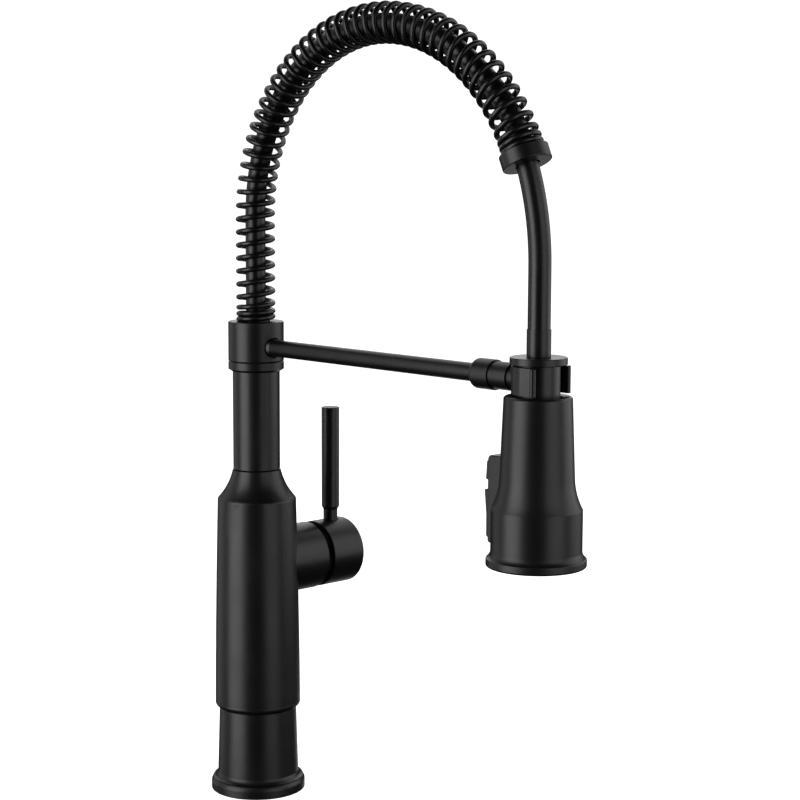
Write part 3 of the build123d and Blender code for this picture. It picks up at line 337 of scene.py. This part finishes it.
def hose_route():
    level, rise = math.cos(HOSE_ANGLE), math.sin(HOSE_ANGLE)
    bend_r = (REACH - LEFT_R - RIGHT_R * level) / (1 - level)
    bend_centre = (REACH - bend_r, right_centre[1] + (RIGHT_R - bend_r) * rise)
    return Route(straight((0, HOSE_FOOT), (0, left_centre[1])),
                 arc(left_centre, LEFT_R, math.pi, math.pi / 2),
                 arc(right_centre, RIGHT_R, math.pi / 2, HOSE_ANGLE),
                 arc(bend_centre, bend_r, HOSE_ANGLE, 0),
                 straight((REACH, bend_centre[1]), (REACH, HOSE_FOOT)))


# ------------------------------------------------------------------ hose
HOSE_STEP = 3 * MM
HOSE_SIDES = 40
HOSE_INSET = 3.3 * MM    # the cover stops this far inside the fittings at its ends
BEND_END_GAP = 2 * MM    # the slant's end point is this far above the crimped ferrule
# How far the hose leans to the inside of the coil, at shares of the way round the arch.
LEAN_AT = (0, 0.15, 0.35, 0.5, 0.65, 0.8, 0.92, 1)
LEAN = (0, -0.4 * MM, 0.1 * MM, 0.4 * MM, 1.0 * MM, 0.9 * MM, -0.8 * MM, 0)


def make_hose():
    route = hose_route()
    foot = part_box("spring_seat")[0].z + HOSE_INSET
    wand_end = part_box("hose_ferrule")[0].z + HOSE_INSET
    first = foot - HOSE_FOOT
    last = route.length - (wand_end - HOSE_FOOT)
    arch_start = left_centre[1] - HOSE_FOOT
    arch_length = spring_route().length - (left_centre[1] - COLLAR_TOP)
    path, side = [], []
    for s in np.linspace(first, last, int((last - first) / HOSE_STEP)):
        point, _, inward = route.look(float(s))
        lean = np.interp((s - arch_start) / arch_length, LEAN_AT, LEAN)
        path.append(point + inward * float(lean))
        side.append(inward)
    hose = tube("hose_cover", path, side, HOSE_R, HOSE_SIDES, "hose_black")
    # A slant from the spring's end cap towards a point above the crimped ferrule is measured
    # here; nothing uses it, so the hose is not bent by it.
    spring = spring_route()
    cap = spring.at(spring.length)
    slant = Vector((0.5, 0, -1))
    free_end = Vector((REACH, 0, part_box("hose_ferrule")[1].z + BEND_END_GAP)) - cap
    slant *= free_end.dot(slant) / slant.length_squared
    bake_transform(hose)
    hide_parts("spray_hose")


make_hose()


# ------------------------------------------------------------------ coil spring
WIRE_R = 1.6 * MM
OPEN_PITCH = 7.73 * MM
CLOSED_PITCH = 3.15 * MM
FOOT_CLOSED = 3.0 * MM       # length of closed turns at the collar
CAP_CLOSED = 8.0 * MM        # and at the end cap
EASE_LENGTH = 12 * MM
FOOT_INSET = 0.7 * MM        # the first turn is ground flat into the collar
COIL_PHASE = math.radians(154.5)
COIL_STEPS = 44              # points along each turn
WIRE_SIDES = 14
PITCH_SAMPLES = 6000         # places where the pitch is added up into turns


def make_coil():
    route = spring_route()
    places = np.linspace(FOOT_INSET, route.length - FOOT_INSET, PITCH_SAMPLES)
    from_foot = places - places[0] - FOOT_CLOSED
    from_cap = places[-1] - places - CAP_CLOSED
    ease = np.clip(np.minimum(from_foot, from_cap) / EASE_LENGTH, 0, 1)
    ease = ease * ease * (3 - 2 * ease)
    pitch = CLOSED_PITCH + (OPEN_PITCH - CLOSED_PITCH) * ease
    turns = np.concatenate([[0], np.cumsum(np.diff(places) / ((pitch[1:] + pitch[:-1]) / 2))])
    path, side = [], []
    for turn in np.linspace(0, turns[-1], int(turns[-1] * COIL_STEPS)):
        point, _, inward = route.look(float(np.interp(turn, turns, places)))
        angle = 2 * math.pi * turn + COIL_PHASE
        out = inward * math.cos(angle) + SIDEWAYS * math.sin(angle)
        path.append(point + out * (SPRING_R - WIRE_R))
        side.append(out)
    coil = tube("spring_coil", path, side, WIRE_R, WIRE_SIDES, "spring_black")
    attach(coil, "spout")
    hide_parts("hose_spring")


make_coil()


# ------------------------------------------------------------------ studio
SOFTBOXES = (
    # name, turn, elevation (degrees), distance, width, height (m), power (W), rise (m)
    ("left_box", -62, 4, 1.2, 0.95, 1.5, 13, 0.05),
    ("left_fill", -120, 4, 1.3, 0.9, 1.5, 2.2, 0.05),
    ("right_box", 45, 4, 1.3, 1.0, 1.5, 5.4, 0.05),
    ("right_fill", 104, 13, 1.3, 1.3, 1.3, 6.6, 0),
    ("low_box", 172, -30, 1.3, 0.8, 0.4, 0.7, 0),
    ("over_box", 180, 42, 1.3, 2.0, 0.8, 5, 0),
    ("back_box", 180, 14, 1.4, 1.6, 0.3, 3.2, 0),
)
WHITE = (1, 1, 1, 1)
DIM_WORLD = 0.02         # light that the surroundings throw on the object
SEEN_WORLD = 1.2         # and how bright they look to the camera
FLOOR_HALF = 8.0
FLOOR_GREY = 0.5
FLOOR_ROUGH = 0.9
FLOOR_GLOW = 1.2


def softbox(name, turn, elevation, distance, width, height, power, rise):
    """A rectangular light at an angle round the object, counted from the camera."""
    middle = (cad_box[0] + cad_box[1]) / 2
    back = direction(CAMERA_AZIMUTH + math.radians(turn), math.radians(elevation))
    data = bpy.data.lights.new(name, "AREA")
    data.shape = "RECTANGLE"
    data.size = width
    data.size_y = height
    data.energy = power
    light = bpy.data.objects.new(name, data)
    bpy.context.scene.collection.objects.link(light)
    light.location = middle + back * distance + Vector((0, 0, rise))
    light.rotation_mode = "QUATERNION"
    light.rotation_quaternion = (-back).to_track_quat("-Z", "Y")
    light.visible_camera = False


def make_studio():
    for row in SOFTBOXES:
        softbox(*row)
    world = bpy.data.worlds.new("studio")
    world.use_nodes = True
    tree = world.node_tree
    dim = tree.nodes["Background"]
    dim.inputs["Color"].default_value = WHITE
    dim.inputs["Strength"].default_value = DIM_WORLD
    seen = tree.nodes.new("ShaderNodeBackground")
    seen.inputs["Color"].default_value = WHITE
    seen.inputs["Strength"].default_value = SEEN_WORLD
    mix = tree.nodes.new("ShaderNodeMixShader")
    ray = tree.nodes.new("ShaderNodeLightPath")
    tree.links.new(ray.outputs["Is Camera Ray"], mix.inputs["Fac"])
    tree.links.new(dim.outputs[0], mix.inputs[1])
    tree.links.new(seen.outputs[0], mix.inputs[2])
    tree.links.new(mix.outputs[0], tree.nodes["World Output"].inputs["Surface"])
    bpy.context.scene.world = world
    bpy.context.scene.view_settings.view_transform = "Standard"


def make_floor():
    half = FLOOR_HALF
    corners = [(-half, -half, 0), (half, -half, 0), (half, half, 0), (-half, half, 0)]
    mesh = bpy.data.meshes.new("floor")
    mesh.from_pydata(corners, [], [(0, 1, 2, 3)])
    floor = bpy.data.objects.new("floor", mesh)
    bpy.context.scene.collection.objects.link(floor)
    material = bpy.data.materials.new("pale_floor")
    material.use_nodes = True
    shader = material.node_tree.nodes["Principled BSDF"]
    shader.inputs["Base Color"].default_value = (FLOOR_GREY, FLOOR_GREY, FLOOR_GREY, 1)
    shader.inputs["Roughness"].default_value = FLOOR_ROUGH
    shader.inputs["Emission Color"].default_value = WHITE
    shader.inputs["Emission Strength"].default_value = FLOOR_GLOW
    mesh.materials.append(material)
    floor.visible_glossy = False
    floor.visible_diffuse = False
    floor.visible_shadow = False


make_studio()
make_floor()
